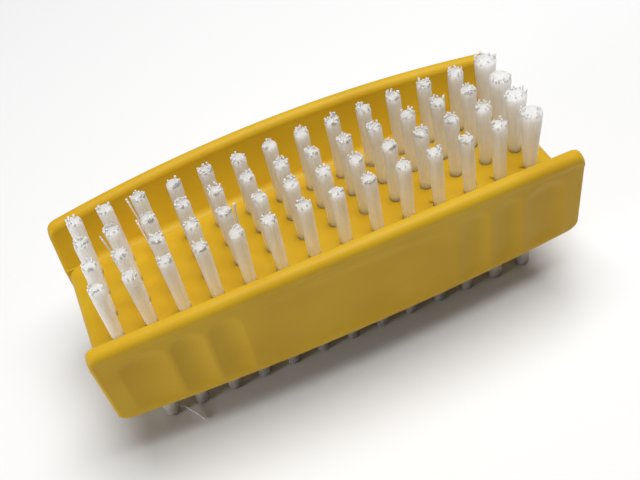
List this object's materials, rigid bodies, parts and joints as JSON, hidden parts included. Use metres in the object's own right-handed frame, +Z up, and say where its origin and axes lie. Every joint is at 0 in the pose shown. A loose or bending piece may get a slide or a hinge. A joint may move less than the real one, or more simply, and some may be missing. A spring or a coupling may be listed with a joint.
{
  "type": "nail brush",
  "caption": "Double-sided plastic nail brush: bowed body with finger scoops and rolled rims, and rows of white bristle tufts above and below its deck.",
  "frame": {"origin": "on the surface that the brush stands on, under the middle of its length and width", "axes": "+X along the body, +Y across it from wall to wall, +Z up from the lower tufts to the upper ones"},
  "size_m": [0.0964, 0.0426, 0.0389],
  "materials": {
    "body_plastic": "smooth moulded, satin",
    "bristle": "drawn nylon filament, translucent white",
    "anchor_metal": "cut from flat wire"
  },
  "bodies": {
    "root": {"body": "body_plastic", "upper_tufts_row_1": "bristle", "upper_tufts_row_2": "bristle", "upper_tufts_row_3": "bristle", "upper_tufts_row_4": "bristle", "lower_tufts_row_1": "bristle", "lower_tufts_row_2": "bristle", "lower_tufts_row_3": "bristle", "lower_tufts_row_4": "bristle", "lower_tufts_row_5": "bristle", "upper_anchors_row_1": "anchor_metal", "upper_anchors_row_2": "anchor_metal", "upper_anchors_row_3": "anchor_metal", "upper_anchors_row_4": "anchor_metal", "lower_anchors_row_1": "anchor_metal", "lower_anchors_row_2": "anchor_metal", "lower_anchors_row_3": "anchor_metal", "lower_anchors_row_4": "anchor_metal", "lower_anchors_row_5": "anchor_metal"}
  },
  "joints": []
}
